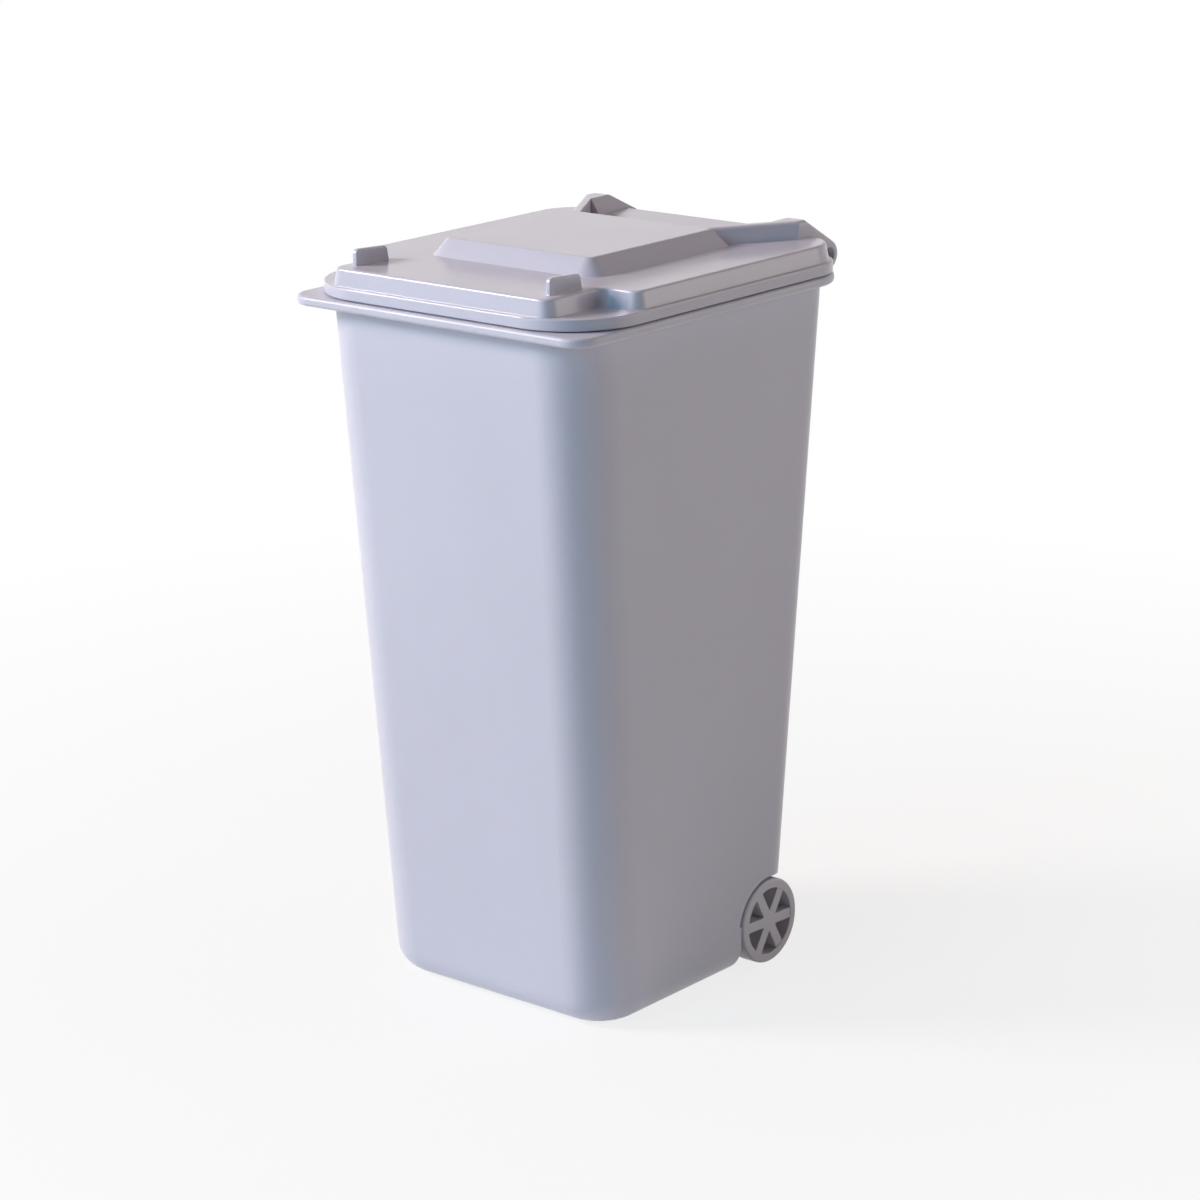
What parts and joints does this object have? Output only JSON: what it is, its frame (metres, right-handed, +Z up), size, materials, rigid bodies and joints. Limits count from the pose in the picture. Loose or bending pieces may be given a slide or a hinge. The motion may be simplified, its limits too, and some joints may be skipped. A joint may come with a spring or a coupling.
{
  "type": "mini wheelie bin",
  "caption": "Desk-size wheelie bin: tapered open tub with a flat rim, hinged lid with a raised panel and finger tabs, and spoked wheels on an axle at the back.",
  "frame": {"origin": "middle of the overall box, on the surface that the bin stands on", "axes": "+Z up, -Y the front of the bin, +Y the back with the hinge and the wheels, +X the right-hand side seen from the front"},
  "size_m": [0.074, 0.0904, 0.1496],
  "materials": {
    "tub_plastic": "satin moulded pale lavender grey",
    "lid_plastic": "glossy moulded pale lavender grey",
    "pin_plastic": "satin moulded pale lavender grey",
    "axle_steel": "plain drawn rod",
    "wheel_plastic": "satin moulded pale lavender grey"
  },
  "bodies": {
    "tub": {"tub": "tub_plastic", "hinge_pin_left": "pin_plastic", "hinge_pin_right": "pin_plastic"},
    "lid": {"lid": "lid_plastic"},
    "wheelset": {"axle": "axle_steel", "wheel_left": "wheel_plastic", "wheel_right": "wheel_plastic"}
  },
  "joints": [
    {"name": "lid_hinge", "type": "hinge", "parent": "tub", "child": "lid", "pos_m": [0, 0.0421, 0.1415], "axis": [-1, 0, 0], "range_deg": [0, 250]},
    {"name": "wheel_spin", "type": "hinge", "parent": "tub", "child": "wheelset", "pos_m": [0, 0.018, 0.0088], "axis": [1, 0, 0], "continuous": true}
  ]
}
